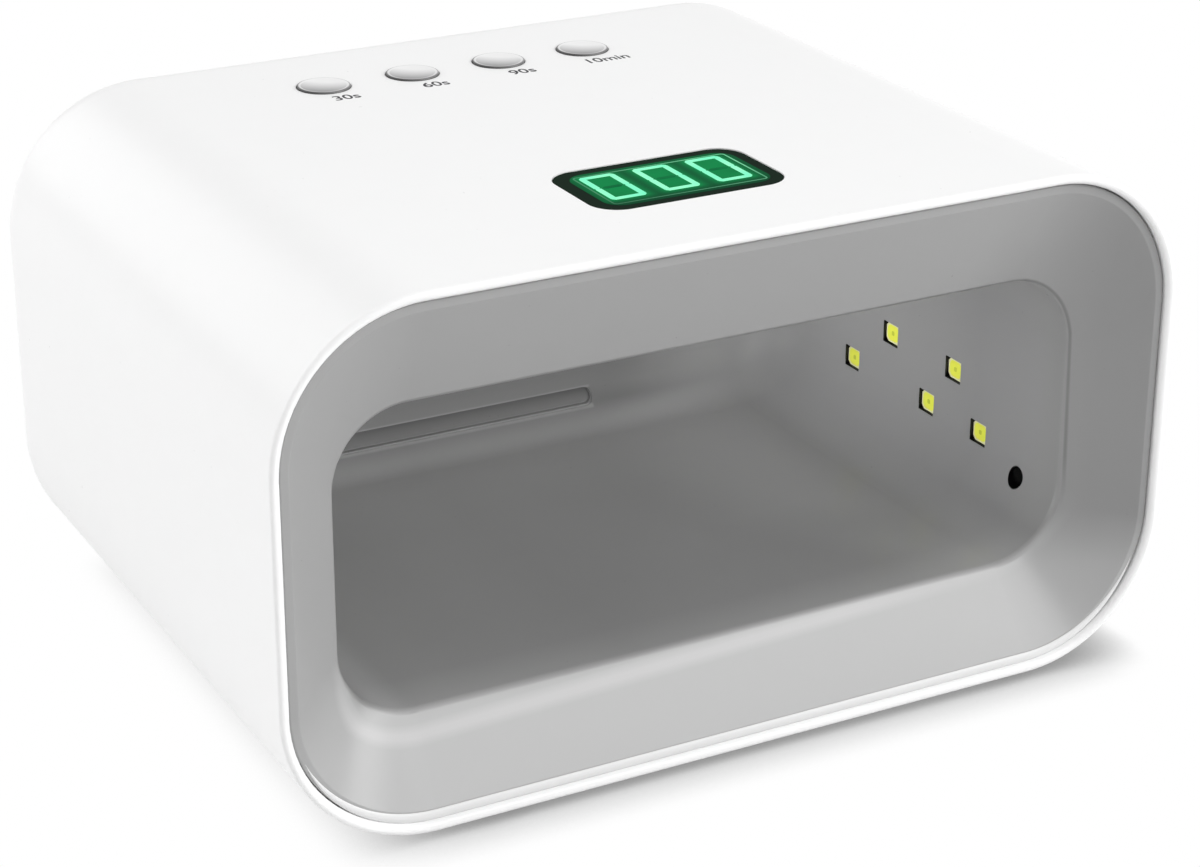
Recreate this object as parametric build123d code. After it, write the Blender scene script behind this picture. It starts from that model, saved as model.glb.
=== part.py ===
from build123d import *
import os

# Casing: a sleeve with a closed rear, open at the front; every height starts at its underside
case_width = 210.0
case_height = 115.0
case_depth = 166.0
case_corner = 33.0
case_wall = 2.2
side_taper = 1.5
rear_round = 12.0
lip_round = 0.8
lip_inner_round = 1.2

# Room kept between the casing's outside and the hand cavity: beside, above, below and behind it
side_room = 18.0
head_room = 27.5
mouth_sill = 21.2
rear_room = 36.0

# Flared mouth and liner, with depths measured from the casing's front
mouth_corner = 16.4
mouth_depth = 13.2
mouth_round = 2.0
cavity_rear_round = 12.0
liner_wall = 2.0
liner_back_wall = 2.4
liner_gap = 0.2
liner_recess = 1.5
liner_rim = 2.0
rim_round = 0.5
skirt_depth = 7.5
groove_length = 68.6
groove_side = -3.1
groove_height = 3.7
groove_depth = 1.2
groove_rise = 6.4
groove_edge = 0.3

# LEDs: package, window and stations as (depth from the front, height) on the side walls
led_length = 5.6
led_width = 4.9
led_thickness = 1.3
led_clearance = 0.2
led_low = 38.0
led_high = 49.7
side_leds = [(44.0, led_low), (55.0, led_high), (65.0, led_low), (81.0, led_high), (97.0, led_low)]
top_led_pitch = 40.0
top_led_front = 62.0
top_led_row_pitch = 32.0
top_led_columns = 3
top_led_rows = 2
ir_depth = 28.0
ir_height = 33.2
ir_radius = 2.3
ir_thickness = 1.9
ir_edge = 0.4
ir_clearance = 0.2

# Circuit boards
board_thickness = 1.6
side_board_front = 20.0
side_board_length = 87.0
side_board_low = 29.5
side_board_height = 32.0
top_board_width = 108.0
top_board_front = 48.0
top_board_length = 60.0
control_width = 96.0
control_front = 13.0
control_length = 54.0
button_board_width = 102.0
button_board_length = 27.0
board_corner = 2.0
board_drop = 9.0

# Melted posts of the liner that hold the LED boards
stake_radius = 1.25
stake_clearance = 0.2
stake_head_radius = 2.3
stake_head = 1.0
stake_inset = 4.0

# Board screws, and the posts under the casing's top that take them
boss_radius = 3.2
boss_inset = 4.0
board_screw_radius = 1.0
board_screw_length = 6.5
board_screw_head_radius = 2.0
board_screw_head = 1.5
board_screw_edge = 0.4
board_hole_depth = 5.9
board_hole_clearance = 0.3
thread_clearance = 0.04

# Display
display_depth = 37.1
lens_length = 44.8
lens_width = 26.8
lens_corner = 6.5
lens_clearance = 0.15
lens_recess = 0.2
lens_flange = 2.0
lens_flange_thickness = 1.0
module_length = 37.6
module_width = 19.0
digit_count = 3
digit_pitch = 12.7
digit_height = 14.2
digit_width = 8.0
segment_width = 1.5
segment_gap = 0.25
segment_depth = 0.6

# Timer buttons and their switches
button_names = ("button_30s", "button_60s", "button_90s", "button_10min")
button_depth = 130.5
button_row_x = -3.2
button_pitch = 22.0
button_radius = 6.1
button_clearance = 0.2
button_rise = 0.4
button_dish = 0.4
button_edge = 0.2
button_flange = 1.1
button_flange_thickness = 0.8
button_travel = 0.6
stem_radius = 1.7
switch_size = 6.0
switch_height = 3.5
plunger_radius = 1.75
plunger_clearance = 0.08
plunger_length = 4.1
plunger_rise = 1.5

# Base cover, its seat in the casing's underside, and its screws
cover_width = 124.0
cover_front = 30.0
cover_corner = 8.0
cover_thickness = 2.5
cover_clearance = 0.3
ledge_seat = 12.0
ledge_thickness = 2.0
ledge_margin = 2.5
vent_count = 9
vent_pitch = 6.0
vent_length = 30.0
vent_width = 2.2
vent_row_offset = 22.0
base_screw_inset = 7.0
base_screw_radius = 1.45
base_screw_length = 12.0
base_screw_head_radius = 2.9
base_screw_head = 1.6
liner_post_radius = 3.6
post_hole_depth = 9.5

# Rubber feet
foot_height = 1.5
foot_radius = 6.0
foot_seat = 1.0
foot_pad_wall = 1.5
foot_clearance = 0.1
foot_edge = 0.5
foot_side_inset = 43.0
foot_front_inset = 18.0
foot_rear_inset = 20.0

# Power jack in the rear wall
jack_height = 30.0
jack_flange_radius = 5.5
jack_flange_thickness = 1.5
jack_barrel_radius = 3.9
jack_length = 14.0
jack_clearance = 0.1
jack_seat_depth = 1.6
jack_pad_radius = 9.0
jack_pad_thickness = 2.0
jack_bore_radius = 2.9
jack_bore_depth = 10.5
jack_pin_radius = 1.0
jack_pin_setback = 1.0
jack_nut_width = 11.0
jack_nut_thickness = 2.4
jack_tab_width = 2.2
jack_tab_thickness = 0.5
jack_tab_length = 4.0
jack_tab_offset = 1.0

# Electronics on the control board, and the plug housings and leads
chip_length = 12.8
chip_width = 7.5
chip_thickness = 2.3
chip_lead_count = 10
chip_lead_pitch = 1.27
chip_lead_width = 0.4
chip_lead_reach = 1.4
chip_lead_thickness = 0.3
transistor_length = 6.5
transistor_width = 6.1
transistor_thickness = 2.3
transistor_pitch = 10.0
transistor_count = 3
capacitor_radius = 4.0
capacitor_length = 12.0
capacitor_edge = 0.5
capacitor_side = 30.0
capacitor_inset = 8.0
plug_length = 10.0
plug_width = 6.0
plug_height = 5.0
lead_radius = 1.2
power_lead_radius = 1.5
lead_bend = 12.0
short_bend = 4.0
lead_level = 2.6
power_lead_stand_off = 8.5
side_plug_depth = 40.0
side_plug_drop = 4.0
top_plug_inset = 18.0
top_lead_side = 30.0
top_lead_end_share = 1 / 3
ribbon_width = 8.0
ribbon_thickness = 0.9
ribbon_level = 2.0

# How far a cutting block runs past what it cuts
cut_margin = 1.0

# Sizes, levels and planes that the driving sizes set
mouth_width = case_width - 2 * side_room
mouth_height = case_height - mouth_sill - head_room
cavity_depth = case_depth - rear_room
cover_length = cavity_depth - cover_front
front_y = -case_depth / 2
rear_y = case_depth / 2
base_z = foot_height
top_z = base_z + case_height
roof_z = top_z - case_wall
floor_z = base_z + case_wall
sill_z = base_z + mouth_sill
ceiling_z = sill_z + mouth_height
ceiling_back_z = ceiling_z + liner_wall
wall_x = mouth_width / 2
wall_back_x = wall_x + liner_wall
board_top_z = roof_z - board_drop
board_low_z = board_top_z - board_thickness
side_board_face_x = wall_back_x + board_thickness
top_board_face_z = ceiling_back_z + board_thickness
cover_top_z = base_z + cover_thickness
ledge_top_z = cover_top_z + ledge_thickness
lens_low_z = roof_z - lens_flange_thickness
button_y = front_y + button_depth
display_y = front_y + display_depth
jack_z = base_z + jack_height
middle_button = (len(button_names) - 1) / 2
button_xs = [button_row_x + (i - middle_button) * button_pitch for i in range(len(button_names))]
BOTTOM = (Align.CENTER, Align.CENTER, Align.MIN)


def slab(width, length, height, x, y, z):
    """A block centred on x and y, standing on z."""
    return Pos(x, y, z) * Box(width, length, height, align=BOTTOM)


def post(radius, low, high, x, y):
    """An upright round post between two heights."""
    return Pos(x, y, low) * Cylinder(radius, high - low, align=BOTTOM)


def peg(radius, start, end, y, z):
    """A round peg along X between two places."""
    return Pos(min(start, end), y, z) * Rot(0, 90, 0) * Cylinder(radius, abs(end - start), align=BOTTOM)


def rod(radius, start, end, x, z):
    """A round rod along Y between two places."""
    return Pos(x, min(start, end), z) * Rot(-90, 0, 0) * Cylinder(radius, abs(end - start), align=BOTTOM)


def plate(width, length, corner, low, high, x, y):
    """A level plate with rounded corners between two heights."""
    outline = Plane(origin=(x, y, low)) * RectangleRounded(width, length, corner)
    return extrude(outline, high - low)


def section(width, height, corner, y, low):
    """A rounded rectangle across the lamp at y, with its lower edge at low."""
    plane = Plane(origin=(0, y, low + height / 2), x_dir=(1, 0, 0), z_dir=(0, -1, 0))
    return plane * RectangleRounded(width, height, corner)


def tunnel(width, height, corner, y_from, y_to, low):
    """A straight rounded-rectangle block between two depths."""
    return extrude(section(width, height, corner, y_from, low), y_from - y_to)


def end_edges(body):
    """The edges round a block's rear face."""
    return body.faces().sort_by(Axis.Y)[-1].edges()


def case_block(inset, y_from, y_to):
    """The casing's tapering block, drawn in from the outside by an inset, with a rounded rear edge."""
    ends = []
    for y in (y_from, y_to):
        narrowing = side_taper * (y - front_y) / case_depth
        width = case_width - 2 * inset - 2 * narrowing
        ends.append(section(width, case_height - 2 * inset, case_corner - inset, y, base_z + inset))
    block = loft(ends, ruled=True)
    return fillet(end_edges(block), rear_round - inset)


def boss_places():
    """Where posts under the casing's top take the board screws."""
    places = []
    for side in (-1, 1):
        control_x = side * (control_width / 2 - boss_inset)
        places.append((control_x, front_y + control_front + boss_inset))
        places.append((control_x, front_y + control_front + control_length - boss_inset))
        button_x = button_row_x + side * (button_board_width / 2 - boss_inset)
        places.append((button_x, button_y - button_board_length / 2 + boss_inset))
        places.append((button_x, button_y + button_board_length / 2 - boss_inset))
    return places


def base_screw_places():
    """Where the base cover's screws go up into the liner's posts."""
    side = cover_width / 2 - base_screw_inset
    front = front_y + cover_front + base_screw_inset
    rear = front_y + cover_front + cover_length - base_screw_inset
    return [(x, y) for x in (-side, side) for y in (front, rear)]


def foot_places():
    """Where the feet are, at the corners of the underside."""
    side = case_width / 2 - foot_side_inset
    return [(x, y) for x in (-side, side) for y in (front_y + foot_front_inset, rear_y - foot_rear_inset)]


def stake_places():
    """Depth and height of the melted posts on a side wall."""
    front = side_board_front + stake_inset
    rear = side_board_front + side_board_length - stake_inset
    low = side_board_low + stake_inset
    high = side_board_low + side_board_height - stake_inset
    behind_sensor = ir_depth + ir_radius + stake_head_radius + stake_inset
    return [(front, high), (rear, high), (behind_sensor, low), (rear, low)]


def top_led_places():
    """Where LEDs look down through the cavity's ceiling."""
    columns = [(i - (top_led_columns - 1) / 2) * top_led_pitch for i in range(top_led_columns)]
    rows = [front_y + top_led_front + i * top_led_row_pitch for i in range(top_led_rows)]
    return [(x, y) for x in columns for y in rows]


def top_stake_places():
    """Places of the melted posts on the cavity's ceiling."""
    side = top_board_width / 2 - stake_inset
    front = front_y + top_board_front + stake_inset
    rear = front_y + top_board_front + top_board_length - stake_inset
    return [(x, y) for x in (-side, side) for y in (front, rear)]


def outer_shell():
    """White sleeve with its lip, board posts, base ledge, foot pads and openings."""
    shell = case_block(0, front_y, rear_y) - case_block(case_wall, front_y - cut_margin, rear_y - case_wall)
    shell = fillet(shell.faces().sort_by(Axis.Y)[0].outer_wire().edges(), lip_round)
    shell = fillet(shell.faces().sort_by(Axis.Y)[0].inner_wires()[0].edges(), lip_inner_round)
    cover_y = front_y + cover_front + cover_length / 2
    rim = ledge_margin + cover_clearance
    ledge_width = cover_width + 2 * rim
    ledge_length = cover_length + 2 * rim
    shell += plate(ledge_width, ledge_length, cover_corner + rim, base_z, ledge_top_z, 0, cover_y)
    for x, y in foot_places():
        shell += post(foot_radius + foot_pad_wall, base_z, floor_z + foot_seat, x, y)
    for x, y in boss_places():
        shell += post(boss_radius, board_top_z, top_z - case_wall / 2, x, y)
    pad_face = rear_y - case_wall - jack_pad_thickness
    shell += rod(jack_pad_radius, pad_face, rear_y - case_wall / 2, 0, jack_z)
    seat = 2 * cover_clearance
    shell -= plate(cover_width + seat, cover_length + seat, cover_corner, base_z, cover_top_z, 0, cover_y)
    inner = 2 * ledge_seat
    shell -= plate(cover_width - inner, cover_length - inner, cover_corner, base_z, ledge_top_z, 0, cover_y)
    for x, y in base_screw_places():
        shell -= post(base_screw_radius + board_hole_clearance, cover_top_z, ledge_top_z, x, y)
    for x, y in foot_places():
        shell -= post(foot_radius, base_z, base_z + foot_seat, x, y)
    thread_radius = board_screw_radius + thread_clearance
    for x, y in boss_places():
        shell -= post(thread_radius, board_top_z, board_top_z + board_hole_depth, x, y)
    hole = 2 * lens_clearance
    shell -= plate(lens_length + hole, lens_width + hole, lens_corner, roof_z, top_z, 0, display_y)
    for x in button_xs:
        shell -= post(button_radius + button_clearance, roof_z, top_z, x, button_y)
    shell -= rod(jack_flange_radius + jack_clearance, rear_y - jack_seat_depth, rear_y, 0, jack_z)
    shell -= rod(jack_barrel_radius + jack_clearance, pad_face, rear_y, 0, jack_z)
    return shell


def liner_front(inset):
    """Width, height, corner and low edge of the liner's front outline, drawn in by an inset."""
    total = case_wall + liner_gap + inset
    return case_width - 2 * total, case_height - 2 * total, case_corner - total, base_z + total


def flare(inset, offset, y_from, y_to):
    """A funnel from the liner's outline, drawn in by an inset, to the mouth, grown by an offset."""
    width, height, corner, low = liner_front(inset)
    wide = section(width, height, corner, y_from, low)
    width = mouth_width + 2 * offset
    height = mouth_height + 2 * offset
    narrow = section(width, height, mouth_corner + offset, y_to, sill_z - offset)
    return loft([wide, narrow], ruled=True)


def liner_void():
    """The space for the hand: the flared mouth and the cavity behind it."""
    mouth_y = front_y + mouth_depth
    rear = front_y + cavity_depth
    cavity = tunnel(mouth_width, mouth_height, mouth_corner, mouth_y, rear, sill_z)
    cavity = fillet(end_edges(cavity), cavity_rear_round)
    return flare(liner_rim, 0, front_y + liner_recess, mouth_y) + cavity


def liner_solid():
    """The outside of the liner: rim, skirt, funnel and the block behind it."""
    rim_y = front_y + liner_recess
    width, height, corner, low = liner_front(0)
    skirt = tunnel(width, height, corner, rim_y, rim_y + skirt_depth, low)
    width, height, corner, low = liner_front(liner_rim)
    skirt -= tunnel(width, height, corner, rim_y - cut_margin, rim_y + skirt_depth + cut_margin, low)
    grown = 2 * liner_wall
    start = front_y + mouth_depth
    end = front_y + cavity_depth + liner_back_wall
    low = sill_z - liner_wall
    block = tunnel(mouth_width + grown, mouth_height + grown, mouth_corner + liner_wall, start, end, low)
    block = fillet(end_edges(block), cavity_rear_round + liner_back_wall)
    return skirt + flare(0, liner_wall, rim_y, start) + block


def stake(along, place):
    """A melted post: a pin and its flattened head, built upwards from a board's back."""
    pin = Cylinder(stake_radius, along, align=BOTTOM)
    head = Pos(0, 0, along) * Cone(stake_head_radius, stake_radius, stake_head, align=BOTTOM)
    return place * (pin + head)


def rear_groove(spread, depth):
    """A slot sunk evenly into the cavity's rear wall, where that wall curves into the sill."""
    rear = front_y + cavity_depth + depth
    width = mouth_width + 2 * depth
    height = mouth_height + 2 * depth
    reach = tunnel(width, height, mouth_corner + depth, front_y + mouth_depth, rear, sill_z - depth)
    reach = fillet(end_edges(reach), cavity_rear_round + depth)
    plane = Plane(origin=(groove_side, rear, sill_z + groove_rise), x_dir=(1, 0, 0), z_dir=(0, -1, 0))
    outline = plane * SlotOverall(groove_length + 2 * spread, groove_height + 2 * spread)
    return extrude(outline, cavity_rear_round + depth) & reach


def inner_liner():
    """Grey cavity with its flared bezel, LED windows, rear groove and fixing posts."""
    liner = liner_solid()
    pin_length = liner_wall / 2 + board_thickness
    pin_x = wall_x + liner_wall / 2
    for depth, height in stake_places():
        right = Pos(pin_x, front_y + depth, base_z + height) * Rot(0, 90, 0)
        left = Pos(-pin_x, front_y + depth, base_z + height) * Rot(0, -90, 0)
        liner += stake(pin_length, right)
        liner += stake(pin_length, left)
    for x, y in top_stake_places():
        liner += stake(pin_length, Pos(x, y, ceiling_z + liner_wall / 2))
    for x, y in base_screw_places():
        liner += post(liner_post_radius, ledge_top_z, sill_z - liner_wall / 2, x, y)
    liner -= liner_void()
    rim = liner.faces().sort_by(Axis.Y)[0].edges()
    liner = fillet(rim, rim_round)
    mouth = liner.edges().filter_by_position(Axis.Y, front_y + mouth_depth, front_y + mouth_depth)
    crease = mouth.filter_by_position(Axis.X, -wall_x, wall_x)
    crease = crease.filter_by_position(Axis.Z, sill_z, ceiling_z)
    liner = fillet(crease, mouth_round)
    thread_radius = base_screw_radius + thread_clearance
    for x, y in base_screw_places():
        liner -= post(thread_radius, ledge_top_z, ledge_top_z + post_hole_depth, x, y)
    gap = 2 * led_clearance
    for depth, height in side_leds:
        window = Pos(0, front_y + depth, base_z + height)
        liner -= window * Box(2 * wall_back_x, led_length + gap, led_width + gap)
    for x, y in top_led_places():
        liner -= slab(led_length + gap, led_width + gap, liner_wall, x, y, ceiling_z)
    sensor_y = front_y + ir_depth
    liner -= peg(ir_radius + ir_clearance, -wall_back_x, wall_back_x, sensor_y, base_z + ir_height)
    return liner - rear_groove(0, groove_depth) - rear_groove(groove_edge, groove_edge)


def base_cover():
    """Flat cover in the underside, with two rows of vent slots and countersunk holes."""
    centre_y = front_y + cover_front + cover_length / 2
    cover = plate(cover_width, cover_length, cover_corner, base_z, cover_top_z, 0, centre_y)
    for row in (-1, 1):
        for i in range(vent_count):
            x = (i - (vent_count - 1) / 2) * vent_pitch
            y = centre_y + row * vent_row_offset
            slot = Plane(origin=(x, y, base_z)) * (Rot(0, 0, 90) * SlotOverall(vent_length, vent_width))
            cover -= extrude(slot, cover_thickness)
    for x, y in base_screw_places():
        cover -= post(base_screw_radius + board_hole_clearance, base_z, cover_top_z, x, y)
        wide = base_screw_head_radius + board_hole_clearance
        narrow = base_screw_radius + board_hole_clearance
        cover -= Pos(x, y, base_z) * Cone(wide, narrow, base_screw_head, align=BOTTOM)
    return cover


def base_screws():
    """Four countersunk screws through the cover and the ledge into the liner's posts."""
    screws = []
    for x, y in base_screw_places():
        shank = post(base_screw_radius, base_z, base_z + base_screw_length, x, y)
        cone = Cone(base_screw_head_radius, base_screw_radius, base_screw_head, align=BOTTOM)
        screws.append(shank + Pos(x, y, base_z) * cone)
    return Compound(children=screws)


def rubber_feet():
    """Four round feet, glued into shallow seats in the underside."""
    feet = []
    for x, y in foot_places():
        foot = post(foot_radius - foot_clearance, 0, base_z + foot_seat, x, y)
        feet.append(chamfer(foot.faces().sort_by(Axis.Z)[0].edges(), foot_edge))
    return Compound(children=feet)


def board(width, length, x, y, low):
    """A level circuit board with rounded corners."""
    return plate(width, length, board_corner, low, low + board_thickness, x, y)


def pierced(panel):
    """A board with holes for the screws that hold it."""
    for x, y in boss_places():
        panel -= post(board_screw_radius + board_hole_clearance, board_low_z, board_top_z, x, y)
    return panel


def control_board():
    """Board under the display."""
    y = front_y + control_front + control_length / 2
    return pierced(board(control_width, control_length, 0, y, board_low_z))


def button_board():
    """Board under the four buttons."""
    return pierced(board(button_board_width, button_board_length, button_row_x, button_y, board_low_z))


def board_screws():
    """Screws up through the two boards into the posts under the top."""
    screws = []
    for x, y in boss_places():
        shank = post(board_screw_radius, board_low_z, board_low_z + board_screw_length, x, y)
        head = post(board_screw_head_radius, board_low_z - board_screw_head, board_low_z, x, y)
        head = chamfer(head.faces().sort_by(Axis.Z)[0].edges(), board_screw_edge)
        screws.append(shank + head)
    return Compound(children=screws)


def display_lens():
    """Tinted window flush in the top, held by a flange under it."""
    upper = plate(lens_length, lens_width, lens_corner, roof_z, top_z - lens_recess, 0, display_y)
    length = lens_length + 2 * lens_flange
    width = lens_width + 2 * lens_flange
    return upper + plate(length, width, lens_corner, lens_low_z, roof_z, 0, display_y)


def bar(length, width, plane):
    """A digit's segment: a bar with pointed ends, sunk into the module's face."""
    half = length / 2
    point = width / 2
    outline = Polyline((-half, 0), (point - half, point), (half - point, point), (half, 0),
                       (half - point, -point), (point - half, -point), close=True)
    return extrude(plane * make_face(outline), -segment_depth)


def digit_bars():
    """The seven bars of each digit, in place on the module's face."""
    bars = []
    across = digit_width - segment_width
    upright = (digit_height - segment_width) / 2
    for i in range(digit_count):
        x = (i - (digit_count - 1) / 2) * digit_pitch
        for row in (-1, 0, 1):
            flat = Plane(origin=(x, display_y + row * upright, lens_low_z))
            bars.append(bar(across - segment_gap, segment_width, flat))
        for side in (-1, 1):
            for row in (-0.5, 0.5):
                place = (x + side * across / 2, display_y + row * upright, lens_low_z)
                turned = Plane(origin=place, x_dir=(0, 1, 0))
                bars.append(bar(upright - segment_gap, segment_width, turned))
    return bars


def display_module():
    """Digit module standing on the control board, its face against the lens."""
    module = slab(module_length, module_width, lens_low_z - board_top_z, 0, display_y, board_top_z)
    for segment in digit_bars():
        module -= segment
    return module


def digit_segments():
    """The clear bars of the digits."""
    return Compound(children=digit_bars())


def timer_button(x):
    """Round cap with a dished top, a flange under the casing and a stem to its switch."""
    rim_z = top_z + button_rise
    cap = post(button_radius, roof_z, rim_z, x, button_y)
    cap = fillet(cap.faces().sort_by(Axis.Z)[-1].edges(), button_edge)
    chord = button_radius - 2 * button_edge
    dish_radius = (chord ** 2 + button_dish ** 2) / (2 * button_dish)
    cap -= Pos(x, button_y, rim_z - button_dish + dish_radius) * Sphere(dish_radius)
    cap += post(button_radius + button_flange, roof_z - button_flange_thickness, roof_z, x, button_y)
    stem_low = board_top_z + switch_height + plunger_rise
    return cap + post(stem_radius, stem_low, roof_z, x, button_y)


def tact_switch(x):
    """Square push switch with a round well for its plunger."""
    body = slab(switch_size, switch_size, switch_height, x, button_y, board_top_z)
    low = board_top_z + switch_height + plunger_rise - plunger_length - button_travel - plunger_clearance
    return body - post(plunger_radius + plunger_clearance, low, board_top_z + switch_height, x, button_y)


def switch_plunger(x):
    """Round plunger between the switch's well and the button's stem."""
    high = board_top_z + switch_height + plunger_rise
    return post(plunger_radius, high - plunger_length, high, x, button_y)


def side_board(side):
    """LED board against the outside of a side wall, over the liner's posts."""
    width = board_thickness
    centre_y = front_y + side_board_front + side_board_length / 2
    centre_z = base_z + side_board_low + side_board_height / 2
    x = side * (wall_back_x + width / 2)
    panel = Pos(x, centre_y, centre_z) * Box(width, side_board_length, side_board_height)
    for depth, height in stake_places():
        hole = stake_radius + stake_clearance
        panel -= peg(hole, side * wall_back_x, side * side_board_face_x, front_y + depth, base_z + height)
    return panel


def top_board():
    """LED board on the outside of the cavity's ceiling."""
    centre_y = front_y + top_board_front + top_board_length / 2
    panel = board(top_board_width, top_board_length, 0, centre_y, ceiling_back_z)
    for x, y in top_stake_places():
        panel -= post(stake_radius + stake_clearance, ceiling_back_z, top_board_face_z, x, y)
    return panel


def side_led_group(side):
    """Five square LEDs in a side wall's windows."""
    leds = []
    x = side * (wall_back_x - led_thickness / 2)
    for depth, height in side_leds:
        leds.append(Pos(x, front_y + depth, base_z + height) * Box(led_thickness, led_length, led_width))
    return Compound(children=leds)


def top_led_group():
    """Square LEDs in the ceiling's windows."""
    low = ceiling_back_z - led_thickness
    leds = [slab(led_length, led_width, led_thickness, x, y, low) for x, y in top_led_places()]
    return Compound(children=leds)


def infrared_part(side):
    """Round infrared emitter or receiver with a rounded face, on a side board."""
    face_x = side * (wall_back_x - ir_thickness)
    body = peg(ir_radius, face_x, side * wall_back_x, front_y + ir_depth, base_z + ir_height)
    face = body.faces().sort_by(Axis.X)[0 if side > 0 else -1]
    return fillet(face.edges(), ir_edge)


def controller_chip():
    """Controller under the control board, with its rows of legs."""
    centre_y = front_y + control_front + control_length / 2
    low = board_low_z - chip_thickness
    lead_low = board_low_z - chip_lead_thickness
    reach = chip_width + 2 * chip_lead_reach
    chip = slab(chip_length, chip_width, chip_thickness, 0, centre_y, low)
    for i in range(chip_lead_count):
        x = (i - (chip_lead_count - 1) / 2) * chip_lead_pitch
        chip += slab(chip_lead_width, reach, chip_lead_thickness, x, centre_y, lead_low)
    return chip


def driver_transistors():
    """One switching transistor for each LED board, under the control board."""
    parts = []
    y = front_y + control_front + transistor_length
    low = board_low_z - transistor_thickness
    for i in range(transistor_count):
        x = (i - (transistor_count - 1) / 2) * transistor_pitch
        parts.append(slab(transistor_width, transistor_length, transistor_thickness, x, y, low))
    return Compound(children=parts)


def filter_capacitor():
    """Round capacitor lying under the control board."""
    y = front_y + control_front + control_length - capacitor_inset
    end = -capacitor_side + capacitor_length / 2
    can = peg(capacitor_radius, end - capacitor_length, end, y, board_low_z - capacitor_radius)
    return chamfer(can.edges().filter_by(GeomType.CIRCLE), capacitor_edge)


def dc_jack():
    """Power socket: flange in the rear wall's seat, barrel and blind bore."""
    face = rear_y - jack_seat_depth + jack_flange_thickness
    jack = rod(jack_flange_radius, face - jack_flange_thickness, face, 0, jack_z)
    jack += rod(jack_barrel_radius, face - jack_length, face, 0, jack_z)
    return jack - rod(jack_bore_radius, face - jack_bore_depth, face, 0, jack_z)


def dc_jack_pin():
    """Centre pin standing in the socket's bore."""
    face = rear_y - jack_seat_depth + jack_flange_thickness
    pin = rod(jack_pin_radius, face - jack_bore_depth, face - jack_pin_setback, 0, jack_z)
    return fillet(pin.faces().sort_by(Axis.Y)[-1].edges(), jack_pin_radius / 2)


def dc_jack_nut():
    """Hexagonal nut that clamps the socket to the rear wall."""
    high = rear_y - case_wall - jack_pad_thickness
    plane = Plane(origin=(0, high, jack_z), x_dir=(1, 0, 0), z_dir=(0, -1, 0))
    nut = extrude(plane * RegularPolygon(jack_nut_width / 2, 6, major_radius=False), jack_nut_thickness)
    return nut - rod(jack_barrel_radius + thread_clearance, high - jack_nut_thickness, high, 0, jack_z)


def dc_jack_tabs():
    """Two solder tabs at the socket's back."""
    back = rear_y - jack_seat_depth + jack_flange_thickness - jack_length
    y = back - jack_tab_length / 2
    tabs = []
    for side in (-1, 1):
        z = jack_z + side * jack_tab_offset - jack_tab_thickness / 2
        tabs.append(slab(jack_tab_width, jack_tab_length, jack_tab_thickness, 0, y, z))
    return Compound(children=tabs)


def upright_plug(x, y, low):
    """A plug housing on or under a board, long across the lamp."""
    return slab(plug_length, plug_width, plug_height, x, y, low)


def lead_z():
    """Height at which leads enter the plugs under the control board."""
    return board_low_z - lead_level


def side_plug_z():
    """Height of the top of the plug on a side board."""
    return base_z + side_board_low + side_board_height - side_plug_drop


def plug_housings():
    """The plug housings on all five boards."""
    rear = front_y + control_front + control_length - plug_width / 2
    under = board_low_z - plug_height
    plugs = [upright_plug(x, rear, under) for x in (0, top_lead_side)]
    plugs.append(upright_plug(0, rear, board_top_z))
    plugs.append(upright_plug(0, button_y - button_board_length / 2 + plug_width / 2, board_top_z))
    plugs.append(upright_plug(top_lead_side, top_plug_y() + plug_width / 2, top_board_face_z))
    y = front_y + side_plug_depth
    for side in (-1, 1):
        x = side * (control_width - plug_width) / 2
        plugs.append(slab(plug_width, plug_length, plug_height, x, y, under))
        x = side * (side_board_face_x + plug_height / 2)
        plugs.append(slab(plug_height, plug_length, plug_width, x, y, side_plug_z() - plug_width))
    return Compound(children=plugs)


def top_plug_y():
    """Front face of the plug on the ceiling's board."""
    return front_y + top_board_front + top_board_length - top_plug_inset


def lead(radius, bend, points):
    """A round lead of straight runs joined by tangent arcs."""
    route = FilletPolyline(*points, radius=bend)
    start = Plane(origin=route @ 0, z_dir=route % 0)
    return sweep(start * Circle(radius), path=route)


def side_lead(side):
    """Lead from a side board up and across to the control board."""
    x = side * (side_board_face_x + plug_height / 2)
    y = front_y + side_plug_depth
    end = side * control_width / 2
    return lead(lead_radius, lead_bend, [(x, y, side_plug_z()), (x, y, lead_z()), (end, y, lead_z())])


def top_lead():
    """Lead from the ceiling's board up to the control board."""
    start = top_plug_y()
    end = front_y + control_front + control_length
    low = top_board_face_z + plug_height / 2
    run = (start - end) * top_lead_end_share
    x = top_lead_side
    points = [(x, start, low), (x, start - run, low), (x, end + run, lead_z()), (x, end, lead_z())]
    return lead(lead_radius, short_bend, points)


def power_lead():
    """Lead from the power socket up behind the cavity and forward to the control board."""
    start = rear_y - jack_seat_depth + jack_flange_thickness - jack_length - jack_tab_length
    turn = start - power_lead_stand_off
    end = front_y + control_front + control_length
    level = lead_z()
    points = [(0, start, jack_z), (0, turn, jack_z), (0, turn, level), (0, end, level)]
    return lead(power_lead_radius, short_bend, points)


def ribbon_lead():
    """Flat lead between the control board and the button board."""
    start = front_y + control_front + control_length
    end = button_y - button_board_length / 2
    z = board_top_z + ribbon_level
    return slab(ribbon_width, end - start, ribbon_thickness, 0, (start + end) / 2, z)


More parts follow.
